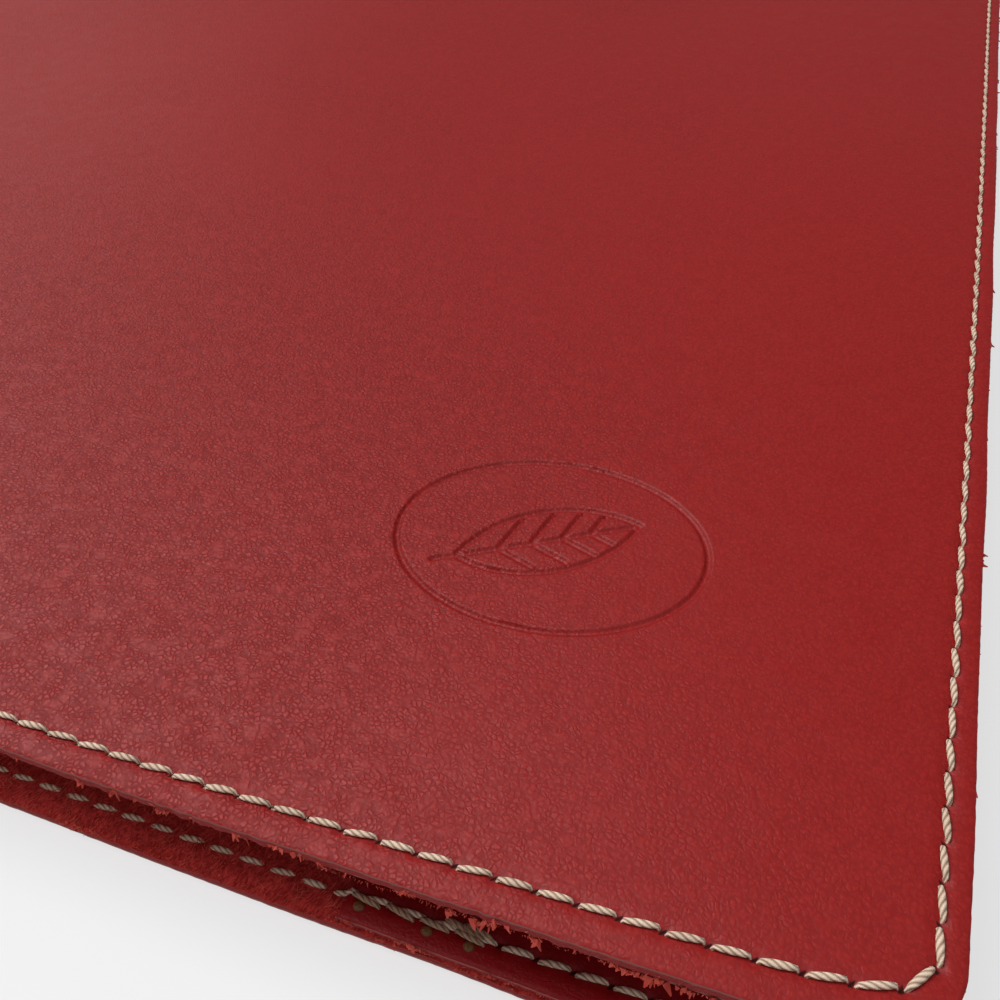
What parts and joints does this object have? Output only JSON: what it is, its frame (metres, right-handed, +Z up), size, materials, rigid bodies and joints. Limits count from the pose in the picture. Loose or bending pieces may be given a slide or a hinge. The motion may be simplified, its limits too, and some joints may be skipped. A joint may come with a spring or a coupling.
{
  "type": "leather notebook cover",
  "caption": "Red leather slip-on cover for an A5 notebook, stitched all round, with two inner pocket flaps and a spine that folds open flat.",
  "frame": {"origin": "under the middle of the closed cover, on the surface that it lies on", "axes": "+X from the spine to the fore-edge, +Y from tail to head up the page, +Z up from the back panel to the front panel"},
  "size_m": [0.169, 0.228, 0.0123],
  "materials": {
    "outer_leather": "deep red pull-up leather, fine pebbled grain, semi-matte",
    "flap_leather": "smooth dark red leather, grain side out",
    "waxed_thread": "cream waxed three-ply twisted thread"
  },
  "bodies": {
    "back": {"back_panel": "outer_leather", "back_pocket_flap": "flap_leather", "back_needle_thread": "waxed_thread", "back_bobbin_thread": "waxed_thread", "back_tail_backtack": "waxed_thread"},
    "spine": {"spine_panel": "outer_leather", "spine_needle_thread_tail": "waxed_thread", "spine_needle_thread_head": "waxed_thread", "spine_bobbin_thread_tail": "waxed_thread", "spine_bobbin_thread_head": "waxed_thread"},
    "front": {"front_panel": "outer_leather", "front_pocket_flap": "flap_leather", "front_needle_thread": "waxed_thread", "front_bobbin_thread": "waxed_thread"}
  },
  "joints": [
    {"name": "back_fold", "type": "hinge", "parent": "back", "child": "spine", "pos_m": [-0.0835, 0, 0.001], "axis": [0, -1, 0], "range_deg": [0, 90]},
    {"name": "front_fold", "type": "hinge", "parent": "spine", "child": "front", "pos_m": [-0.0835, 0, 0.0113], "axis": [0, -1, 0], "range_deg": [0, 90]}
  ]
}
